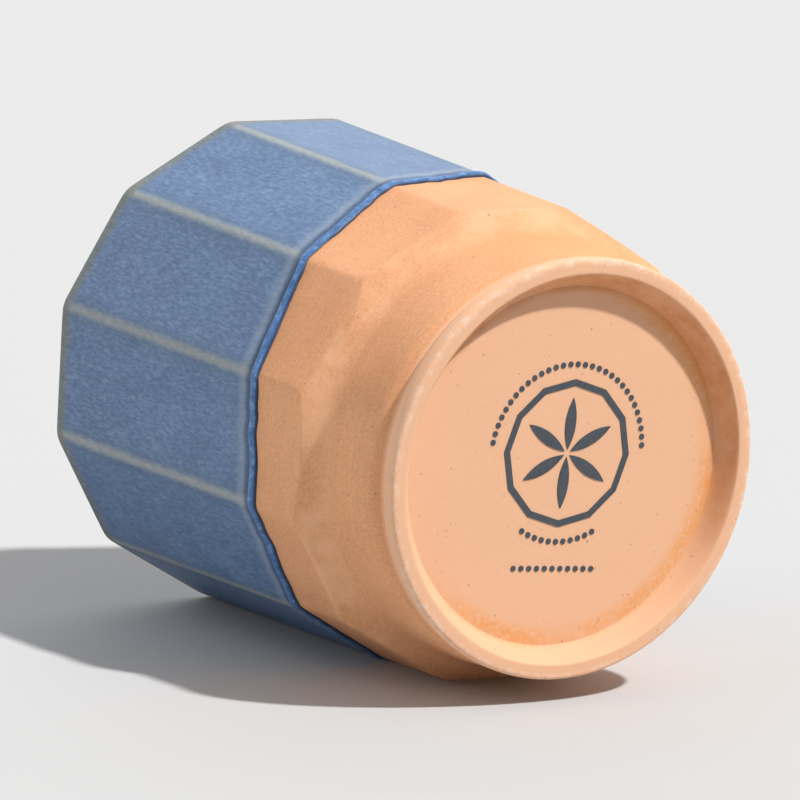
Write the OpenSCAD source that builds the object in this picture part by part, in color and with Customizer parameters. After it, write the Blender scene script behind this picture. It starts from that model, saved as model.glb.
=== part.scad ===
// Handleless shaving mug: a twelve-sided stoneware tumbler with a turned foot.
// The mug stands upright on its foot ring, mouth toward +Z.
// The origin is the centre of the foot ring's underside, on the mug's own axis.
// Lengths are in millimetres.

/* [Body] */
// Height from the foot ring's underside to the top of the lip
mug_height = 96; // [80:1:120]
// Width across opposite ridges at the lip
lip_width = 86; // [70:1:110]
// Width across opposite ridges, carried down to the foot
foot_level_width = 78; // [60:1:100]
// Number of flat sides
side_count = 12; // [8:1:16]
// Clay thickness at the lip, measured on a flat side
lip_wall = 3.4; // [2:0.1:6]
// Clay thickness low in the wall, measured on a flat side
low_wall = 5.2; // [3:0.1:8]
// Thickness of the clay floor
floor_thickness = 7.6; // [4:0.2:12]

/* [Foot] */
// Outer diameter of the foot ring
foot_width = 68.2; // [50:0.2:90]
// Height of the foot ring, up to the cove
foot_height = 4.6; // [2:0.2:10]
// Diameter across the cove above the foot ring
cove_width = 66; // [50:0.2:90]
// Width of the flat that touches the table
foot_flat = 0.9; // [0.4:0.1:4]
// Height at which the neck starts above the cove
neck_height = 6.8; // [6:0.1:10]
// Width across the neck where it starts
neck_width = 69; // [60:0.2:90]
// Height at which the neck turns outward to the shoulder
shoulder_height = 18; // [10:0.2:26]
// Width across the neck at that height
shoulder_width = 71.4; // [60:0.2:90]
// Mean height of the crease where the shoulder meets the flat sides
crease_height = 23.2; // [15:0.1:35]
// Width across the shoulder at the crease
crease_width = 78.6; // [60:0.2:100]
// Depth of the recess inside the foot ring
recess_depth = 3.6; // [2:0.2:10]
// Diameter of the recess floor
recess_width = 59; // [40:0.2:62]

/* [Glaze] */
// Thickness of the glaze coat
glaze_coat = 0.45; // [0.2:0.05:1]
// Mean height of the glaze line
glaze_line = 42; // [25:0.5:70]
// Slant of the glaze line
glaze_slant = 11.9; // [0:0.1:20]
// Direction of the line's high side, turned from +X toward +Y
glaze_high_side = 24.9; // [0:0.1:360]
// Width of the thick roll of glaze along the line
roll_width = 2.6; // [1:0.1:6]
// Thickness of that roll
roll_coat = 1.1; // [0.6:0.05:2]
// Depth of the lip band, inside and outside
lip_band = 2.2; // [1:0.1:5]

/* [Base mark] */
// Width across the many-sided outline
mark_width = 24; // [12:0.5:40]
// Line width of the outline
mark_line = 1.1; // [0.5:0.1:3]
// Sideways offset of the mark along +X
mark_shift_x = 1.8; // [-5:0.1:5]
// Sideways offset of the mark along +Y
mark_shift_y = -1.2; // [-5:0.1:5]
// Direction of the mark's foot, turned from +X toward +Y
mark_turn = 139; // [0:1:360]
// Thickness of the printed ink
mark_ink = 0.12; // [0.05:0.01:0.5]
// Length of one petal of the rosette
petal_length = 8.4; // [3:0.1:12]
// Width of one petal
petal_width = 2; // [0.8:0.1:4]
// Number of petals
petal_count = 6; // [3:1:12]
// Width of the ring on which the arcs of dots lie
dot_ring_width = 28.8; // [20:0.2:44]
// Turn from one dot to the next along the arcs
dot_turn = 5.6; // [3:0.1:20]
// Dots in the long arc, at the head of the mark
long_arc_dots = 31; // [3:1:60]
// Dots in the short arc, at the foot of the mark
short_arc_dots = 11; // [3:1:40]
// Dots in the straight row below the short arc
row_dots = 11; // [3:1:30]
// Distance of that row from the mark's centre
row_distance = 18.8; // [16:0.1:24]
// Spacing of the dots in the row
row_spacing = 1.5; // [0.8:0.1:4]
// Diameter of one dot
dot_size = 0.95; // [0.4:0.05:2]

/* [Hidden] */
$fn = 120;
ridge_turn = 360 / side_count;
flat_ratio = cos(ridge_turn / 2);
lip_flat = flat_ratio * lip_width / 2;
low_flat = flat_ratio * foot_level_width / 2;
side_lean = atan((lip_flat - low_flat) / mug_height);
clay_top = mug_height - glaze_coat;
block_size = 2 * mug_height;
cavity_top = lip_flat - glaze_coat - lip_wall;
floor_top = recess_depth + floor_thickness;
cavity_low = low_flat - low_wall;
cavity_corner = 9;
foot_radius = foot_width / 2;
cove_radius = cove_width / 2;
recess_radius = recess_width / 2;
neck_radius = neck_width / 2;
shoulder_radius = shoulder_width / 2;
crease_radius = crease_width / 2;
shoulder_slope = (crease_radius - shoulder_radius) / (crease_height - shoulder_height);
turned_flare = 3;
flat_outer = foot_radius - 0.5;
flat_inner = flat_outer - foot_flat;
seam_radius = recess_radius + 0.6;
petal_bow = (pow(petal_length / 2, 2) - pow(petal_width / 2, 2)) / petal_width;
petal_arc = petal_bow + petal_width / 2;
petal_gap = 0.6;
clay_color = [0.86, 0.63, 0.46];
foot_color = [0.9, 0.7, 0.55];
glaze_color = [0.33, 0.44, 0.58];
roll_color = [0.24, 0.42, 0.66];
lip_color = [0.4, 0.44, 0.42];
ink_color = [0.25, 0.28, 0.31];

// Flat sides: a round block with every flat side planed off.
// The skin pushes each side outward from the clay surface.
module planed_block(skin, bottom, top) {
    difference() {
        translate([0, 0, bottom]) cylinder(h = top - bottom, r = lip_width);
        for (side = [0 : side_count - 1])
            rotate([0, 0, (side + 0.5) * ridge_turn])
                translate([low_flat - glaze_coat + skin, 0, 0])
                    rotate([0, side_lean, 0])
                        translate([0, -block_size / 2, -block_size / 2])
                            cube([block_size, block_size, 2 * block_size]);
    }
}

// Everything below the slanted glaze line, moved by the given rise.
module below_glaze_line(rise) {
    rotate([0, 0, glaze_high_side])
        translate([0, 0, glaze_line])
            rotate([0, -glaze_slant, 0])
                translate([-block_size / 2, -block_size / 2, rise - block_size])
                    cube([block_size, block_size, block_size]);
}

// Outside of the turned base: a cove, a neck and a cone that runs out past the flat sides.
module turned_outline() {
    flare_top = crease_height + turned_flare / shoulder_slope;
    polygon([
        [0, foot_height],
        [cove_radius, foot_height],
        [cove_radius + 0.8, foot_height + 0.9],
        [neck_radius, neck_height],
        [shoulder_radius, shoulder_height],
        [crease_radius + turned_flare, flare_top],
        [lip_width, flare_top],
        [lip_width, clay_top],
        [0, clay_top]
    ]);
}

// Space inside the mug, drawn as a half section; the skin shrinks it.
module cavity_outline(skin, top) {
    corner_top = floor_top + skin + cavity_corner;
    polygon(concat(
        [[0, floor_top + skin]],
        [for (turn = [0 : 10 : 90])
            [cavity_low - skin - cavity_corner + cavity_corner * sin(turn),
             corner_top - cavity_corner * cos(turn)]],
        [[cavity_top - skin, clay_top],
         [cavity_top - skin, top],
         [0, top]]
    ));
}

module clay_wall() {
    color(clay_color)
        difference() {
            intersection() {
                planed_block(0, foot_height, clay_top);
                rotate_extrude() turned_outline();
            }
            rotate_extrude() cavity_outline(0, mug_height + 1);
            cylinder(h = floor_top, r = seam_radius);
        }
}

module clay_floor() {
    color(clay_color)
        translate([0, 0, recess_depth])
            cylinder(h = floor_thickness, r = seam_radius);
}

module foot_ring() {
    color(foot_color)
        rotate_extrude()
            polygon([
                [flat_inner, 0],
                [flat_outer, 0],
                [foot_radius - 0.1, 0.7],
                [foot_radius, 1.6],
                [foot_radius - 0.1, 2.4],
                [foot_radius - 0.5, 3.4],
                [cove_radius, foot_height],
                [seam_radius, foot_height],
                [seam_radius, recess_depth - 0.7],
                [flat_inner - 2.3, 2],
                [flat_inner - 1.5, 0.9],
                [flat_inner - 0.8, 0.35]
            ]);
}

module outer_glaze() {
    color(glaze_color)
        difference() {
            planed_block(glaze_coat, 0, mug_height - lip_band);
            planed_block(0, -1, mug_height);
            below_glaze_line(roll_width);
        }
}

module glaze_roll() {
    color(roll_color)
        difference() {
            intersection() {
                planed_block(roll_coat, 0, mug_height);
                below_glaze_line(roll_width);
            }
            planed_block(0, -1, mug_height + 1);
            below_glaze_line(0);
        }
}

module lip_glaze() {
    color(lip_color)
        difference() {
            planed_block(glaze_coat, mug_height - lip_band, mug_height);
            difference() {
                planed_block(0, 0, clay_top);
                rotate_extrude() cavity_outline(0, mug_height + 1);
            }
            rotate_extrude() cavity_outline(glaze_coat, mug_height + 1);
        }
}

module inner_glaze() {
    color(lip_color)
        rotate_extrude()
            difference() {
                intersection() {
                    cavity_outline(0, clay_top);
                    square([lip_width, mug_height - lip_band]);
                }
                cavity_outline(glaze_coat, mug_height + 1);
            }
}

// Lays flat ink on the recess floor, with the mark's foot along +X before turning.
module print_ink() {
    color(ink_color)
        translate([mark_shift_x, mark_shift_y, recess_depth - mark_ink])
            rotate(mark_turn)
                linear_extrude(mark_ink)
                    children();
}

module petal() {
    intersection() {
        translate([petal_length / 2, petal_bow]) circle(r = petal_arc);
        translate([petal_length / 2, -petal_bow]) circle(r = petal_arc);
    }
}

// A run of dots along the dot ring, centred on the given direction.
module dot_arc(dots, direction) {
    for (step = [0 : dots - 1])
        rotate(direction + (step - (dots - 1) / 2) * dot_turn)
            translate([dot_ring_width / 2, 0])
                circle(d = dot_size);
}

module mark_outline() {
    print_ink()
        difference() {
            circle(d = mark_width, $fn = side_count);
            circle(d = mark_width - 2 * mark_line, $fn = side_count);
        }
}

module mark_rosette() {
    print_ink()
        for (step = [0 : petal_count - 1])
            rotate(step * 360 / petal_count)
                translate([petal_gap, 0])
                    petal();
}

module mark_dots() {
    print_ink() {
        dot_arc(long_arc_dots, 180);
        dot_arc(short_arc_dots, 0);
        for (step = [0 : row_dots - 1])
            translate([row_distance, (step - (row_dots - 1) / 2) * row_spacing])
                circle(d = dot_size);
    }
}

clay_wall();
clay_floor();
foot_ring();
outer_glaze();
glaze_roll();
lip_glaze();
inner_glaze();
mark_outline();
mark_rosette();
mark_dots();
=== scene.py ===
"""A handleless faceted shaving mug that lies on one of its flat sides on a pale floor.

The frame is the upright mug: +Z runs from the foot to the mouth. The floor is the plane of
the flat side that the mug lies on, so the camera looks at the foot from below.
"""
import math

import bpy
import numpy as np
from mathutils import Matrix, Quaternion, Vector


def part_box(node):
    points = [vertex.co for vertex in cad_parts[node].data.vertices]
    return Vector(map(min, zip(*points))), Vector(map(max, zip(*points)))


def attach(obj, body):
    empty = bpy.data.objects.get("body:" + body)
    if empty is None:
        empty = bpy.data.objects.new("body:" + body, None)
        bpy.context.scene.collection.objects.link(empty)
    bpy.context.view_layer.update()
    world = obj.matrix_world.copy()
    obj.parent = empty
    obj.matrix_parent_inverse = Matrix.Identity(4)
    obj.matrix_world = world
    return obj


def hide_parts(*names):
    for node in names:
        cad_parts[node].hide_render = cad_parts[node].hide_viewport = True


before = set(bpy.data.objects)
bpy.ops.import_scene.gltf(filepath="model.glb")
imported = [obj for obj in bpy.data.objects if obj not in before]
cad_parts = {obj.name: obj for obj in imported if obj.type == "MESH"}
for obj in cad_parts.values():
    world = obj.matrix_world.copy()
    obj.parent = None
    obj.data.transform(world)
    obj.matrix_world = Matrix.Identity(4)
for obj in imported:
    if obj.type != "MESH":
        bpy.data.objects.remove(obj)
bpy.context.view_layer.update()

MM = 0.001
COLUMNS = 720
TURN = np.arange(COLUMNS) * 2 * math.pi / COLUMNS

# ---------------------------------------------------------------- driving sizes, in millimetres
lip_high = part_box("lip_glaze")[1]
foot_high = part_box("foot_ring")[1]
floor_low, floor_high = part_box("clay_floor")

MUG_HEIGHT = lip_high.z / MM
LIP_RADIUS = lip_high.x / MM
FOOT_RADIUS = foot_high.x / MM
COVE_HEIGHT = foot_high.z / MM
RECESS_DEPTH = floor_low.z / MM
CAVITY_FLOOR = floor_high.z / MM
SEAM_RADIUS = floor_high.x / MM

SIDES = 12
SIDE_TURN = 2 * math.pi / SIDES
FLAT_RATIO = math.cos(SIDE_TURN / 2)
FOOT_LEVEL_RADIUS = 39.0
LOW_FLAT = FOOT_LEVEL_RADIUS * FLAT_RATIO
SIDE_LEAN = (LIP_RADIUS * FLAT_RATIO - LOW_FLAT) / MUG_HEIGHT
GLAZE_SHARPNESS = 150
CLAY_SHARPNESS = 260
SHOULDER_SOFTNESS = 0.16
SHOULDER_WAVER = 0.05

COAT = 0.45
WALL = 3.4
CAVITY_TAPER = 0.069
CAVITY_CORNER = 9.0
LIP_BAND = 2.4
LIP_ROUND = 0.9
LIP_SQUARENESS = 0.6

GLAZE_HEIGHT = 42.0
GLAZE_SLANT = math.tan(math.radians(11.9))
GLAZE_HIGH_SIDE = math.radians(24.9)
ROLL_WIDTH = 2.0
ROLL_COAT = 0.7
ROLL_ROWS = 17
# Heights above the glaze line at which the roll and the start of the coat are cut into rows.
EDGE_ROWS = (0, 0.04, 0.12, 0.25, 0.42, 0.6, 0.8, 1.0, 1.2, 1.4, 1.6, 1.8, 2.0, 2.15,
             2.3, 2.45, 2.6, 2.8, 3.05, 3.35, 3.7, 4.1, 4.6, 5.2)
BURIED = 0.15
# What the glaze away from the line, or inside the mug, carries as its distance from line and ridge.
FAR_ABOVE = 200.0
INSIDE_RIDGE = 50.0

# The ring's outline is drawn for a ring of this radius and scaled to the frame's.
RING_DRAWN_RADIUS = 34.1
RING_BACK = 5.2
RING_INNER = 28.3
FLOOR_DISC_RADIUS = 29.5
DISC_CENTRE = 0.3


# ---------------------------------------------------------------- curves
def wobble(turn, seed, waves, falloff=1.0):
    """Smooth noise round the mug, about -1 to 1, from whole numbers of waves."""
    draw = np.random.RandomState(seed)
    total = np.zeros_like(turn)
    weight_sum = 0.0
    for wave in waves:
        weight = draw.uniform(0.5, 1.0) / wave ** falloff
        total += weight * np.sin(wave * turn + draw.uniform(0, 2 * math.pi))
        weight_sum += weight ** 2
    return total / math.sqrt(2 * weight_sum)


def smooth_step(low, high, value):
    """0 below low, 1 above high, smooth between."""
    part = np.clip((value - low) / (high - low), 0, 1)
    return part * part * (3 - 2 * part)


def soft_min(first, second, softness):
    """The smaller of two surfaces, rounded over the given distance."""
    blend = np.clip(0.5 + 0.5 * (second - first) / softness, 0, 1)
    return second * (1 - blend) + first * blend - softness * blend * (1 - blend)


def rounded_outline(points, rounds):
    """Cuts the corners of an open outline several times, keeping both ends."""
    line = np.array(points, float)
    for _ in range(rounds):
        near = line[:-1] * 0.75 + line[1:] * 0.25
        far = line[:-1] * 0.25 + line[1:] * 0.75
        middle = np.empty((2 * len(near), 2))
        middle[0::2] = near
        middle[1::2] = far
        line = np.vstack([line[:1], middle[1:-1], line[-1:]])
    return line


# ---------------------------------------------------------------- surfaces of the mug
# Hand-cut sides: each a little nearer or farther than the mean, and turned a little.
SIDE_SHIFT = np.random.RandomState(4).uniform(-0.14, 0.14, SIDES)
SIDE_TWIST = np.random.RandomState(9).uniform(-0.006, 0.006, SIDES)

# How far the shoulder is cut below its mean height, every 15 degrees round the mug.
SHOULDER_DROP = (2.2, 2.2, 1.8, 2.0, 2.0, 2.0, 2.2, 2.6, 3.2, 4.0, 4.2, 2.6,
                 1.2, 0.5, 0.0, -0.1, 0.0, 0.0, 0.0, 0.0, 0.1, 0.0, 0.0, 1.2)
DROP_START = 8.0
DROP_END = 17.0

# One flat side was cut deeper toward its lower end than the others.
DEEP_SIDE = 8
DEEP_CUT = 1.9
DEEP_START = 26.0
DEEP_END = 19.0
DEEP_LIMIT = 1.2

# Neck and shoulder, from the foot ring up: radius and height.
SHOULDER = rounded_outline([
    (33.0, 3.6), (33.0, 4.7), (33.6, 5.5), (34.3, 6.6), (34.5, 9.0), (34.65, 12.0), (34.85, 15.0),
    (35.1, 17.4), (35.7, 19.1), (36.9, 20.6), (38.25, 22.0), (39.6, 23.3), (41.5, 25.1), (90.0, 68.0),
], 2)

# Foot ring, from the recess floor over the rim to the cove under the neck: radius and height.
FOOT_OUTLINE = rounded_outline([
    (28.3, RECESS_DEPTH + 0.4), (29.0, RECESS_DEPTH + 0.1), (29.6, RECESS_DEPTH - 0.3),
    (30.2, RECESS_DEPTH - 1.1), (30.8, 1.3), (31.3, 0.5), (31.6, 0.12), (31.9, 0.0), (33.4, 0.0),
    (33.95, 0.15), (34.15, 0.6), (34.2, 1.8), (34.0, 2.9), (33.4, 3.8), (33.0, 4.7),
], 3)


def many_sided(turn, flats, sharpness):
    """Radius of a many-sided outline with softened corners; flats holds each side's distance."""
    total = 0
    for side in range(SIDES):
        facing = np.cos(turn - (side + 0.5) * SIDE_TURN - SIDE_TWIST[side])
        total = total + (np.maximum(facing, 0.05) * LOW_FLAT / flats[side]) ** sharpness
    return LOW_FLAT * total ** (-1.0 / sharpness)


def glaze_flats(height):
    """Distance of each glazed side from the axis."""
    return [LOW_FLAT + SIDE_LEAN * height + SIDE_SHIFT[side] for side in range(SIDES)]


def glaze_wall(turn, height):
    """Outside of the glazed flat sides."""
    return many_sided(turn, glaze_flats(height), GLAZE_SHARPNESS)


def clay_flats(height):
    """Distance of each bare-clay side from the axis."""
    flats = [flat - COAT for flat in glaze_flats(height)]
    low_part = np.clip((DEEP_START - height) / (DEEP_START - DEEP_END), 0, DEEP_LIMIT)
    flats[DEEP_SIDE] = flats[DEEP_SIDE] - DEEP_CUT * low_part ** 2
    return flats


def shoulder_radius(turn, height):
    """The turned neck and the shoulder that runs out to the flat sides."""
    marks = np.arange(len(SHOULDER_DROP) + 1) * 2 * math.pi / len(SHOULDER_DROP)
    drop = np.interp(turn, marks, SHOULDER_DROP + SHOULDER_DROP[:1])
    drop = drop * smooth_step(DROP_START, DROP_END, height)
    return np.interp(height + drop, SHOULDER[:, 1], SHOULDER[:, 0])


def clay_wall_radius(turn, height):
    """Outside of the bare clay: flat sides that end in a turned shoulder."""
    sided = many_sided(turn, clay_flats(height), CLAY_SHARPNESS)
    turned = shoulder_radius(turn, height) + SHOULDER_WAVER * wobble(turn, seed=21, waves=range(2, 7))
    return soft_min(sided, turned, SHOULDER_SOFTNESS)


def cavity_radius(height):
    """Inside of the mug: a round, slightly tapered cavity with a rounded bottom corner."""
    straight = LIP_RADIUS * FLAT_RATIO - COAT - WALL - (MUG_HEIGHT - height) * CAVITY_TAPER
    rise = np.clip((height - CAVITY_FLOOR) / CAVITY_CORNER, 0, 1)
    return straight - CAVITY_CORNER * (1 - np.sqrt(1 - (1 - rise) ** 2))


# The lower edge of the glaze: a slanted plane round the mug, with a wavy edge.
GLAZE_LINE = (
    GLAZE_HEIGHT
    + GLAZE_SLANT * glaze_wall(TURN, GLAZE_HEIGHT) * np.cos(TURN - GLAZE_HIGH_SIDE)
    + 0.30 * wobble(TURN, seed=31, waves=range(7, 24), falloff=0.5)
    + 0.16 * wobble(TURN, seed=32, waves=range(24, 70), falloff=0.4)
)
RIDGE_DISTANCE = np.abs((TURN / SIDE_TURN + 0.5) % 1.0 - 0.5) * SIDE_TURN * LIP_RADIUS


# ---------------------------------------------------------------- mesh building
def on_wall(radius, height):
    """One row of grid points round the mug, from a radius and a height that may vary with the turn."""
    radius, height, _ = np.broadcast_arrays(radius, height, TURN)
    return np.stack([radius * np.cos(TURN), radius * np.sin(TURN), height], axis=-1)


def grid_normals(points, closed):
    """Outward normals of a grid whose columns go once round the mug."""
    across = np.roll(points, -1, axis=1) - np.roll(points, 1, axis=1)
    if closed:
        along = np.roll(points, -1, axis=0) - np.roll(points, 1, axis=0)
    else:
        along = np.gradient(points, axis=0)
    normal = np.cross(across, along)
    length = np.linalg.norm(normal, axis=-1, keepdims=True)
    return normal / np.maximum(length, 1e-12)


def grid_faces(rows, columns, closed):
    """Four-cornered faces between neighbouring rows, and from the last row to the first if closed."""
    last = rows if closed else rows - 1
    row = np.arange(last)[:, None]
    column = np.arange(columns)[None, :]
    upper = (row + 1) % rows
    right = (column + 1) % columns
    corners = [row * columns + column, row * columns + right,
               upper * columns + right, upper * columns + column]
    filled = [np.broadcast_to(corner, (last, columns)) for corner in corners]
    return np.stack(filled, axis=-1).reshape(-1, 4)


def make_object(name, points, quads, triangles=None, normals=None, values=None):
    """A smooth mesh object from millimetre points; values holds named numbers per point."""
    mesh = bpy.data.meshes.new(name)
    triangles = np.zeros((0, 3), int) if triangles is None else triangles
    corners = np.concatenate([quads.ravel(), triangles.ravel()])
    starts = np.concatenate([
        np.arange(len(quads)) * 4,
        len(quads) * 4 + np.arange(len(triangles)) * 3,
    ])
    mesh.vertices.add(len(points))
    mesh.vertices.foreach_set("co", (points * MM).ravel())
    mesh.loops.add(len(corners))
    mesh.loops.foreach_set("vertex_index", corners)
    mesh.polygons.add(len(starts))
    mesh.polygons.foreach_set("loop_start", starts)
    mesh.polygons.foreach_set("use_smooth", np.ones(len(starts), bool))
    mesh.update(calc_edges=True)
    mesh.validate()
    for label, numbers in (values or {}).items():
        layer = mesh.attributes.new(label, "FLOAT", "POINT")
        layer.data.foreach_set("value", numbers.ravel().astype(np.float32))
    if normals is not None:
        mesh.normals_split_custom_set_from_vertices(normals.reshape(-1, 3))
    item = bpy.data.objects.new(name, mesh)
    bpy.context.scene.collection.objects.link(item)
    return item


def lathe_object(name, points, closed=False, caps=False, normals=None, values=None):
    """A closed piece from a grid: joined end to end, or capped with a fan at both ends."""
    rows, columns = points.shape[:2]
    quads = grid_faces(rows, columns, closed)
    flat = points.reshape(-1, 3)
    flat_values = {label: numbers.ravel() for label, numbers in (values or {}).items()}
    if normals is None:
        normals = grid_normals(points, closed)
    flat_normals = normals.reshape(-1, 3)
    triangles = None
    if caps:
        first, last = points[0].mean(axis=0), points[-1].mean(axis=0)
        flat = np.vstack([flat, first, last])
        flat_normals = np.vstack([flat_normals, normals[0].mean(axis=0), normals[-1].mean(axis=0)])
        flat_values = {label: np.concatenate([numbers, numbers[:1], numbers[-1:]])
                       for label, numbers in flat_values.items()}
        column = np.arange(columns)
        right = (column + 1) % columns
        low = np.stack([np.full(columns, rows * columns), right, column], axis=-1)
        top = (rows - 1) * columns
        high = np.stack([np.full(columns, rows * columns + 1), top + column, top + right], axis=-1)
        triangles = np.vstack([low, high])
    return make_object(name, flat, quads, triangles, flat_normals, flat_values)


# ---------------------------------------------------------------- the glaze
def glaze_grid():
    """The shown surface of the glaze, row by row, with the row numbers where the pieces meet."""
    lip_start = MUG_HEIGHT - LIP_ROUND
    rows, above, coats = [], [], []

    def add_row(radius, height, rise=FAR_ABOVE, coat=COAT):
        rows.append(on_wall(radius, height))
        above.append(rise + 0 * TURN)
        coats.append(coat + 0 * TURN)

    width = ROLL_WIDTH * (1 + 0.13 * wobble(TURN, seed=41, waves=range(5, 30), falloff=0.3))
    thickness = ROLL_COAT * (1 + 0.2 * wobble(TURN, seed=42, waves=range(4, 26), falloff=0.3))
    for rise in EDGE_ROWS:
        part = np.clip(rise / width, 0, 1)
        bead = thickness * np.sqrt(np.clip(1 - (2 * part - 1) ** 2, 0, 1))
        coat = np.maximum(bead, COAT * smooth_step(width * 0.45, width + 1.1, rise))
        height = GLAZE_LINE + rise
        add_row(glaze_wall(TURN, height) - COAT + coat, height, rise, coat)

    start = GLAZE_LINE + EDGE_ROWS[-1]
    for part in np.linspace(0, 1, 101)[1:]:
        height = start + (lip_start - start) * part
        add_row(glaze_wall(TURN, height), height, height - GLAZE_LINE)
    band_height = MUG_HEIGHT - LIP_BAND - LIP_ROUND
    band_row = int(np.argmin([abs(row[0, 2] - band_height) for row in rows]))

    outer = glaze_wall(TURN, lip_start)
    inner = cavity_radius(lip_start) - COAT
    middle, reach = (outer + inner) / 2, (outer - inner) / 2
    for angle in np.linspace(0, math.pi, 25)[1:]:
        side = np.sign(math.cos(angle)) * abs(math.cos(angle)) ** LIP_SQUARENESS
        add_row(middle + reach * side, lip_start + LIP_ROUND * math.sin(angle) ** LIP_SQUARENESS)
    liner_row = len(rows) - 1

    floor_top = CAVITY_FLOOR + COAT
    depth = np.concatenate([
        np.linspace(lip_start, floor_top + CAVITY_CORNER, 46)[1:],
        floor_top + CAVITY_CORNER * (1 - np.sin(np.linspace(0, math.pi / 2, 20)[1:])),
    ])
    for height in depth:
        add_row(cavity_radius(height - COAT) - COAT, height)
    bottom = rows[-1][0, 0]
    for part in (0.85, 0.65, 0.45, 0.25, 0.1):
        add_row(bottom * part, floor_top)
    return np.array(rows), np.array(above), np.array(coats), (band_row, liner_row)


def skin_piece(name, points, normals, above, coats, first, last, inside=False):
    """Rows first to last of the glaze, closed by the same rows pushed into the clay."""
    shown = points[first:last + 1]
    facing = normals[first:last + 1]
    buried = shown - facing * (coats[first:last + 1, :, None] + BURIED)
    height = above[first:last + 1]
    grid = np.concatenate([buried[::-1], shown])
    all_normals = np.concatenate([facing[::-1], facing])
    values = {"above_line": np.concatenate([height[::-1], height])}
    ridge = np.broadcast_to(RIDGE_DISTANCE, values["above_line"].shape)
    values["ridge_mm"] = ridge + INSIDE_RIDGE if inside else ridge.copy()
    values["below_lip"] = MUG_HEIGHT - grid[..., 2]
    return lathe_object(name, grid, closed=not inside, caps=inside, normals=all_normals, values=values)


def build_glaze():
    points, above, coats, (band_row, liner_row) = glaze_grid()
    normals = grid_normals(points, False)
    last = len(points) - 1
    roll = skin_piece("glaze_roll_bead", points, normals, above, coats, 0, ROLL_ROWS)
    coat = skin_piece("outer_glaze_coat", points, normals, above, coats, ROLL_ROWS, band_row)
    lip = skin_piece("lip_glaze_band", points, normals, above, coats, band_row, liner_row)
    liner = skin_piece("inner_glaze_lining", points, normals, above, coats, liner_row, last, inside=True)
    return roll, coat, lip, liner


# ---------------------------------------------------------------- the clay
def clay_piece(name, rows, closed):
    """A closed clay piece, with the numbers that its material reads at every point."""
    grid = np.array(rows)
    radius = np.hypot(grid[..., 0], grid[..., 1])
    height = grid[..., 2]
    steps = np.hypot(np.diff(radius, axis=0), np.diff(height, axis=0))
    run = np.vstack([np.zeros((1, grid.shape[1])), np.cumsum(steps, axis=0)])
    values = {"radius_mm": radius, "height_mm": height, "lathe_mm": run}
    return lathe_object(name, grid, closed=closed, caps=not closed, values=values)


def build_clay_wall():
    """Neck, shoulder and flat sides, with rows close together where the outline bends most."""
    bottom = COVE_HEIGHT - 0.6
    top = MUG_HEIGHT - LIP_ROUND - 0.2
    heights = np.concatenate([
        np.arange(bottom, 27.0, 0.22),
        np.arange(27.0, 53.0, 0.5),
        np.linspace(53.0, top, 12),
    ])
    rows = [on_wall(clay_wall_radius(TURN, height), height) for height in heights]
    inner_heights = np.linspace(top, CAVITY_FLOOR + CAVITY_CORNER + 0.2, 20)
    rows += [on_wall(cavity_radius(height), height) for height in inner_heights]
    rows += [on_wall(SEAM_RADIUS, height) for height in (CAVITY_FLOOR, bottom)]
    return clay_piece("clay_wall_body", rows, closed=True)


def build_foot_ring():
    """The turned ring, a little out of round."""
    scale_out = FOOT_RADIUS / RING_DRAWN_RADIUS
    rows = []
    for radius, height in FOOT_OUTLINE:
        drift = 0.06 * wobble(TURN, seed=51, waves=range(2, 6)) * smooth_step(29.8, 31.0, radius)
        lift = 0.05 * wobble(TURN, seed=52, waves=range(2, 7)) * smooth_step(29.8, 31.5, radius)
        rows.append(on_wall(radius * scale_out + drift, np.maximum(height + lift, 0.0)))
    rows += [on_wall(radius, RING_BACK) for radius in (32.0, RING_INNER)]
    return clay_piece("foot_ring_turned", rows, closed=True)


def build_clay_floor():
    """The base disc: the recessed face below and the cavity's floor above."""
    rows = [on_wall(radius, RECESS_DEPTH) for radius in np.linspace(DISC_CENTRE, FLOOR_DISC_RADIUS, 60)]
    rows.append(on_wall(FLOOR_DISC_RADIUS + 0.2, CAVITY_FLOOR - 1.0))
    rows += [on_wall(radius, CAVITY_FLOOR) for radius in (27.0, DISC_CENTRE)]
    return clay_piece("clay_floor_disc", rows, closed=False)


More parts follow.
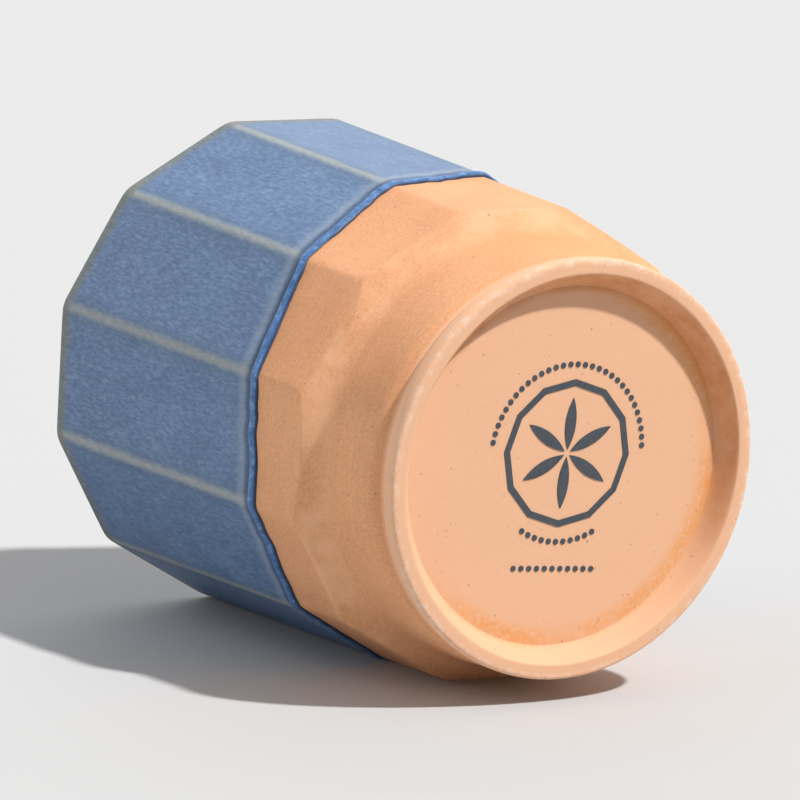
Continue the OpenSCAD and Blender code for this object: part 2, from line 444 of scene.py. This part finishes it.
# ---------------------------------------------------------------- materials
class Paint:
    """The nodes of a material or a world, with short ways to add what they repeat."""

    def __init__(self, tree):
        self.nodes = tree.nodes
        self.links = tree.links

    def feed(self, socket, source):
        """Links a socket to another node's output, or sets its value."""
        if isinstance(source, bpy.types.NodeSocket):
            self.links.new(source, socket)
        elif socket.type == "RGBA":
            socket.default_value = (*source, 1.0)
        else:
            socket.default_value = source

    def add(self, kind, inputs):
        node = self.nodes.new(kind)
        for label, source in inputs.items():
            self.feed(node.inputs[label], source)
        return node

    def place(self):
        return self.nodes.new("ShaderNodeTexCoord").outputs["Object"]

    def attribute(self, label):
        node = self.nodes.new("ShaderNodeAttribute")
        node.attribute_name = label
        return node.outputs["Fac"]

    def noise(self, vector, scale, detail=4.0, roughness=0.55):
        inputs = {"Vector": vector, "Scale": scale, "Detail": detail, "Roughness": roughness}
        return self.add("ShaderNodeTexNoise", inputs).outputs["Fac"]

    def stretched(self, vector, scale):
        return self.add("ShaderNodeMapping", {"Vector": vector, "Scale": scale}).outputs["Vector"]

    def math(self, operation, first, second):
        node = self.add("ShaderNodeMath", {0: first, 1: second})
        node.operation = operation
        return node.outputs["Value"]

    def times(self, first, *others):
        for other in others:
            first = self.math("MULTIPLY", first, other)
        return first

    def dot(self, vector, direction):
        node = self.add("ShaderNodeVectorMath", {0: vector, 1: direction})
        node.operation = "DOT_PRODUCT"
        return node.outputs["Value"]

    def rise(self, source, low, high):
        """0 below low, 1 above high, smooth between."""
        inputs = {"Value": source, "From Min": low, "From Max": high}
        node = self.add("ShaderNodeMapRange", inputs)
        node.interpolation_type = "SMOOTHSTEP"
        return node.outputs["Result"]

    def fall(self, source, low, high):
        """1 below low, 0 above high, smooth between."""
        return self.math("SUBTRACT", 1.0, self.rise(source, low, high))

    def ramp(self, source, stops):
        """A colour ramp; each stop is a place and a colour or a grey value."""
        node = self.nodes.new("ShaderNodeValToRGB")
        elements = node.color_ramp.elements
        while len(elements) < len(stops):
            elements.new(0.5)
        for element, (place, colour) in zip(elements, stops):
            element.position = place
            element.color = (*colour, 1.0) if isinstance(colour, tuple) else (colour, colour, colour, 1.0)
        self.links.new(source, node.inputs["Fac"])
        return node.outputs["Color"]

    def mix(self, amount, first, second, blend="MIX"):
        node = self.add("ShaderNodeMix", {0: amount, 6: first, 7: second})
        node.data_type = "RGBA"
        node.blend_type = blend
        return node.outputs[2]

    def tint(self, colour, source, stops):
        """The colour, made lighter and darker by a ramp."""
        return self.mix(1.0, colour, self.ramp(source, stops), "MULTIPLY")

    def cover(self, colour, coat, *masks):
        """The coat over the colour, where all the masks meet."""
        return self.mix(self.times(*masks), colour, coat)

    def bump(self, height, strength, distance, previous=None):
        inputs = {"Height": height, "Strength": strength, "Distance": distance}
        if previous is not None:
            inputs["Normal"] = previous
        return self.add("ShaderNodeBump", inputs).outputs["Normal"]


def new_material(name):
    """A material with one Principled shader; gives its nodes as a Paint."""
    material = bpy.data.materials.new(name)
    material.use_nodes = True
    paint = Paint(material.node_tree)
    paint.nodes.clear()
    shader = paint.nodes.new("ShaderNodeBsdfPrincipled")
    paint.add("ShaderNodeOutputMaterial", {"Surface": shader.outputs["BSDF"]})
    return material, paint, shader


def finish_shader(paint, shader, colour, roughness, specular, normal):
    paint.feed(shader.inputs["Base Color"], colour)
    paint.feed(shader.inputs["Roughness"], roughness)
    paint.feed(shader.inputs["Normal"], normal)
    shader.inputs["Specular IOR Level"].default_value = specular


def across(degrees):
    """A direction across the mug, by its angle round the axis."""
    return (math.cos(math.radians(degrees)), math.sin(math.radians(degrees)), 0.0)


def clay_material():
    """Dry buff stoneware: grain, turning lines, worn edges that also carry a painted highlight and a
    painted sheen, a painted shade on the recess wall, dark specks and an orange kiln flash.

    Heights and radii are in millimetres; distances across the mug are in metres.
    """
    material, paint, shader = new_material("bare_clay")
    place = paint.place()
    radius = paint.attribute("radius_mm")
    height = paint.attribute("height_mm")
    outline = paint.add("ShaderNodeCombineXYZ", {"X": paint.attribute("lathe_mm")}).outputs["Vector"]
    grain = paint.noise(place, 2200.0, 4.0, 0.75)
    rings = paint.noise(outline, 1.6, 3.0, 0.6)
    speckle = paint.rise(paint.noise(place, 1500.0, 4.0, 0.7), 0.28, 0.62)
    patchy = paint.rise(paint.noise(place, 120.0, 4.0, 0.65), 0.36, 0.66)
    toward_flash = paint.dot(place, across(80.0))
    toward_neck_flash_and_wall_shade = paint.dot(place, across(-12.0))

    clouds = paint.noise(place, 55.0, 3.0)
    colour = paint.ramp(clouds, ((0.3, (0.73, 0.345, 0.168)), (0.7, (0.82, 0.41, 0.21))))
    colour = paint.tint(colour, grain, ((0.34, 0.84), (0.66, 1.10)))
    colour = paint.tint(colour, rings, ((0.3, 0.95), (0.7, 1.04)))

    # The recess and the ring are paler than the walls; this is partly a painted highlight on the sunlit
    # foot face.
    in_foot = paint.fall(height, 4.6, 5.4)
    colour = paint.cover(colour, (0.84, 0.505, 0.325), in_foot, 0.75)

    # Pale patches on the shoulder: partly worn clay, partly a painted highlight on its sunlit bevel.
    on_shoulder = paint.times(paint.rise(height, 16.5, 20.0), paint.fall(height, 21.8, 23.4))
    colour = paint.cover(colour, (0.90, 0.51, 0.29), on_shoulder, patchy, 0.7)
    # Pale marks on the ring's rim: partly rubbed clay, partly a painted sheen.
    on_rim = paint.times(paint.rise(radius, 32.6, 33.4), paint.fall(height, 0.5, 1.6))
    rubbed_and_sheen = paint.rise(paint.noise(place, 520.0, 5.0, 0.75), 0.44, 0.66)
    colour = paint.cover(colour, (0.88, 0.65, 0.53), on_rim, rubbed_and_sheen, 0.65)

    # Painted shade: dark brown, in patches, on the side of the recess's wall that lies in shade.
    on_wall = paint.times(paint.rise(radius, 27.6, 29.2), paint.fall(radius, 31.3, 32.0), in_foot)
    painted_shade_side = paint.rise(toward_neck_flash_and_wall_shade, -0.004, 0.018)
    painted_shade = paint.math("ADD", 0.4, paint.times(patchy, 0.5))
    colour = paint.cover(colour, (0.62, 0.25, 0.085), on_wall, painted_shade_side, painted_shade)

    # The orange flash round the edge of the recess, and on the sunny side of the neck.
    near_edge = paint.times(paint.rise(radius, 25.4, 28.0), paint.fall(radius, 28.6, 30.2), in_foot)
    patches = paint.rise(paint.noise(place, 60.0, 3.0, 0.6), 0.30, 0.54)
    flash_side = paint.rise(toward_flash, -0.016, 0.004)
    colour = paint.cover(colour, (0.80, 0.31, 0.06), near_edge, patches, speckle, flash_side, 0.72)
    on_neck = paint.times(paint.rise(height, 5.0, 8.0), paint.fall(height, 13.0, 24.0))
    neck_side = paint.rise(toward_neck_flash_and_wall_shade, 0.018, 0.034)
    neck_flash = paint.math("ADD", 0.35, paint.times(speckle, 0.35))
    colour = paint.cover(colour, (0.74, 0.31, 0.10), on_neck, neck_side, neck_flash)

    specks = paint.rise(paint.noise(place, 1300.0, 1.0, 0.4), 0.76, 0.80)
    colour = paint.cover(colour, (0.25, 0.11, 0.06), specks, 0.55)

    surface = paint.bump(rings, 0.25, 0.00008)
    surface = paint.bump(grain, 0.3, 0.00003, surface)
    roughness = paint.ramp(grain, ((0.2, 0.62), (0.8, 0.82)))
    finish_shader(paint, shader, colour, roughness, 0.35, surface)
    return material


def glaze_material():
    """Satin blue glaze with fine streaks, pale on the ridges (partly a glaze break, partly a painted
    highlight), painted shade beside the ridges and along the roll's lower edge, and deep blue where it
    pools.

    Distances from the glaze line, the ridges and the lip are in millimetres.
    """
    material, paint, shader = new_material("blue_glaze")
    place = paint.place()
    above = paint.attribute("above_line")
    below_lip = paint.attribute("below_lip")
    fibres = paint.noise(paint.stretched(place, (1.0, 1.0, 0.3)), 2000.0, 5.0, 0.66)
    patches = paint.noise(paint.stretched(place, (1.0, 1.0, 0.6)), 170.0, 4.0, 0.6)
    wander = paint.math("SUBTRACT", paint.noise(place, 260.0, 3.0), 0.5)

    colour = paint.ramp(fibres, ((0.32, (0.060, 0.122, 0.262)), (0.5, (0.102, 0.186, 0.350)),
                                 (0.68, (0.175, 0.272, 0.438))))
    colour = paint.tint(colour, patches, ((0.32, (0.86, 0.87, 0.90)), (0.68, (1.12, 1.09, 1.05))))

    # A pale line on each ridge, partly a glaze break and partly a painted highlight, with painted shade
    # beside it.
    ridge = paint.math("ADD", paint.attribute("ridge_mm"), paint.times(wander, 0.7))
    colour = paint.cover(colour, (0.065, 0.115, 0.165), paint.fall(ridge, 0.8, 3.6), 0.35)
    crest = paint.ramp(fibres, ((0.3, (0.25, 0.285, 0.30)), (0.7, (0.38, 0.405, 0.385))))
    colour = paint.cover(colour, crest, paint.fall(ridge, 0.1, 1.45), 0.8)

    # Thin glaze breaks to olive grey on the lip.
    lip_near = paint.math("ADD", below_lip, paint.times(wander, 3.0))
    olive = paint.ramp(fibres, ((0.3, (0.10, 0.115, 0.10)), (0.7, (0.22, 0.23, 0.19))))
    colour = paint.cover(colour, olive, paint.fall(lip_near, 1.6, 4.2), 0.8)

    # The roll: flecked deep blue with a painted shade along its lower edge, a dark groove and a pale halo
    # above.
    flecks = paint.noise(place, 900.0, 4.0, 0.65)
    deep = paint.ramp(flecks, ((0.32, (0.03, 0.095, 0.26)), (0.52, (0.07, 0.19, 0.45)),
                               (0.72, (0.17, 0.34, 0.64))))
    deep = paint.mix(paint.rise(above, 0.05, 0.4), (0.02, 0.045, 0.10), deep)
    colour = paint.cover(colour, deep, paint.fall(above, 1.8, 2.3))
    groove = paint.times(paint.rise(above, 1.3, 2.1), paint.fall(above, 2.2, 3.6))
    colour = paint.cover(colour, (0.055, 0.08, 0.13), groove, 0.75)
    halo = paint.times(paint.rise(above, 2.6, 3.8), paint.fall(above, 4.0, 6.0))
    colour = paint.cover(colour, (0.30, 0.36, 0.42), halo, 0.4)

    surface = paint.bump(patches, 0.3, 0.0001)
    surface = paint.bump(fibres, 0.3, 0.00005, surface)
    roughness = paint.ramp(fibres, ((0.3, 0.46), (0.7, 0.60)))
    finish_shader(paint, shader, colour, roughness, 0.5, surface)
    return material


def ink_material():
    """Matt slate-grey stamp ink, worn thin in places."""
    material, paint, shader = new_material("stamp_ink")
    mottle = paint.noise(paint.place(), 1500.0, 3.0, 0.6)
    colour = paint.ramp(mottle, ((0.3, (0.045, 0.055, 0.07)), (0.7, (0.075, 0.088, 0.105))))
    roughness = paint.ramp(mottle, ((0.3, 0.6), (0.7, 0.8)))
    finish_shader(paint, shader, colour, roughness, 0.5, paint.bump(mottle, 0.2, 0.00004))
    return material


def floor_material():
    """Pale matt floor that is seen from its front only."""
    material, paint, shader = new_material("pale_floor")
    shader.inputs["Base Color"].default_value = (0.535, 0.537, 0.542, 1.0)
    shader.inputs["Roughness"].default_value = 0.9
    shader.inputs["Specular IOR Level"].default_value = 0.1
    clear = paint.nodes.new("ShaderNodeBsdfTransparent")
    side = paint.nodes.new("ShaderNodeNewGeometry")
    either = paint.add("ShaderNodeMixShader", {
        "Fac": side.outputs["Backfacing"],
        1: shader.outputs["BSDF"],
        2: clear.outputs["BSDF"],
    })
    output = next(node for node in paint.nodes if node.type == "OUTPUT_MATERIAL")
    paint.feed(output.inputs["Surface"], either.outputs["Shader"])
    return material


# ---------------------------------------------------------------- assembly
clay = clay_material()
glaze = glaze_material()
ink = ink_material()

wall = build_clay_wall()
ring = build_foot_ring()
base = build_clay_floor()
roll, coat, lip, liner = build_glaze()

for piece, node_name, slot_name, material in (
    (wall, "clay_wall", "bare_clay", clay),
    (ring, "foot_ring", "foot_clay", clay),
    (base, "clay_floor", "floor_clay", clay),
    (roll, "glaze_roll", "roll_glaze", glaze),
    (coat, "outer_glaze", "blue_glaze", glaze),
    (lip, "lip_glaze", "lip_glaze", glaze),
    (liner, "inner_glaze", "liner_glaze", glaze),
):
    piece.data.materials.append(material)
    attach(piece, "root")
    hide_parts(node_name)

for node_name in ("mark_outline", "mark_rosette", "mark_dots"):
    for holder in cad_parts[node_name].material_slots:
        holder.material = ink

# ---------------------------------------------------------------- stage
REST_TURN = math.radians(135.0)
REST_LEAN = math.atan(SIDE_LEAN)
# How far the floor stays outside the mean flat side, so that the fullest side clears it.
FLOOR_GAP = 0.4
FLOOR_REACH = 4.0

rest_out = Vector((math.cos(REST_TURN) * math.cos(REST_LEAN),
                   math.sin(REST_TURN) * math.cos(REST_LEAN),
                   -math.sin(REST_LEAN)))
floor_up = -rest_out
floor_point = Vector((math.cos(REST_TURN), math.sin(REST_TURN), 0.0)) * (LOW_FLAT + FLOOR_GAP) * MM
side_way = floor_up.cross(Vector((0, 0, 1))).normalized()
long_way = floor_up.cross(side_way)
floor_corners = [floor_point + (side_way * a + long_way * b) * FLOOR_REACH
                 for a, b in ((-1, -1), (1, -1), (1, 1), (-1, 1))]
floor_mesh = bpy.data.meshes.new("floor")
floor_mesh.from_pydata(floor_corners, [], [(0, 1, 2, 3)])
floor_mesh.update()
if floor_mesh.polygons[0].normal.dot(floor_up) < 0:
    floor_mesh.flip_normals()
floor = bpy.data.objects.new("floor", floor_mesh)
floor.data.materials.append(floor_material())
bpy.context.scene.collection.objects.link(floor)

# Camera: the photograph's angle onto the foot, rolled so that the floor lies level.
CAMERA_AZIMUTH = math.radians(-25.04)
CAMERA_ELEVATION = math.radians(-55.70)
CAMERA_ROLL = math.radians(69.67)
CAMERA_DISTANCE = 0.8664
CAMERA_AIM = Vector((-1.86, -5.99, 44.24)) * MM
LENS = 236.9

back = Vector((math.sin(CAMERA_AZIMUTH) * math.cos(CAMERA_ELEVATION),
               -math.cos(CAMERA_AZIMUTH) * math.cos(CAMERA_ELEVATION),
               math.sin(CAMERA_ELEVATION)))
camera_data = bpy.data.cameras.new("camera")
camera_data.lens = LENS
camera_data.clip_start = 0.01
camera_data.clip_end = 50.0
camera = bpy.data.objects.new("camera", camera_data)
camera.rotation_mode = "QUATERNION"
camera.location = CAMERA_AIM + back * CAMERA_DISTANCE
camera.rotation_quaternion = (-back).to_track_quat("-Z", "Y") @ Quaternion((0, 0, 1), -CAMERA_ROLL)
bpy.context.scene.collection.objects.link(camera)
bpy.context.scene.camera = camera
view_turn = camera.rotation_quaternion.to_matrix()


# ---------------------------------------------------------------- light
def towards(right, up, near):
    """A direction named as the camera sees it: right, up and towards the viewer."""
    return (view_turn @ Vector((right, up, near))).normalized()


def light(name, kind, direction, power):
    """A lamp that shines onto the mug from the given direction."""
    data = bpy.data.lights.new(name, kind)
    data.energy = power
    item = bpy.data.objects.new(name, data)
    item.rotation_mode = "QUATERNION"
    item.rotation_quaternion = direction.to_track_quat("Z", "Y")
    bpy.context.scene.collection.objects.link(item)
    return item


key = light("key", "SUN", towards(0.568, 0.723, 0.393), 3.75)
key.data.angle = math.radians(3.0)
key.data.color = (1.0, 0.99, 0.97)

# A light behind the floor reaches the mug only, so that the side it lies on can be seen.
REAR_DISTANCE = 0.9
rear_way = towards(0.62, -0.20, -0.76)
rear = light("rear", "AREA", rear_way, 2.0)
rear.data.shape = "DISK"
rear.data.size = 0.5
rear.location = Vector((0, 0, 0.45 * MUG_HEIGHT * MM)) + rear_way * REAR_DISTANCE
mug_only = bpy.data.collections.new("mug_only")
for piece in (wall, ring, base, roll, coat, lip, liner):
    mug_only.objects.link(piece)
rear.light_linking.receiver_collection = mug_only
rear.light_linking.blocker_collection = mug_only

# The surroundings glow from behind, above and the left, as pale studio walls do.
GLOWS = (
    (towards(0.0, 0.2, -1.0), 1.60),
    (towards(0.0, 1.0, 0.17), 0.38),
    (towards(-1.0, 0.15, 0.1), 0.95),
)
EVEN_GLOW = 0.055
BACKDROP = (0.80, 0.80, 0.80)

world = bpy.data.worlds.new("studio")
world.use_nodes = True
bpy.context.scene.world = world
studio = Paint(world.node_tree)
way = studio.nodes.new("ShaderNodeTexCoord").outputs["Generated"]
total = EVEN_GLOW
for direction, strength in GLOWS:
    lobe = studio.rise(studio.dot(way, direction), 0.4, 0.95)
    total = studio.math("ADD", studio.times(lobe, strength), total)
surround = studio.nodes["Background"]
studio.feed(surround.inputs["Color"], total)
backdrop = studio.add("ShaderNodeBackground", {"Color": BACKDROP})
ray_kind = studio.nodes.new("ShaderNodeLightPath")
chooser = studio.add("ShaderNodeMixShader", {
    "Fac": ray_kind.outputs["Is Camera Ray"],
    1: surround.outputs["Background"],
    2: backdrop.outputs["Background"],
})
studio.feed(studio.nodes["World Output"].inputs["Surface"], chooser.outputs["Shader"])

bpy.context.scene.view_settings.view_transform = "Standard"
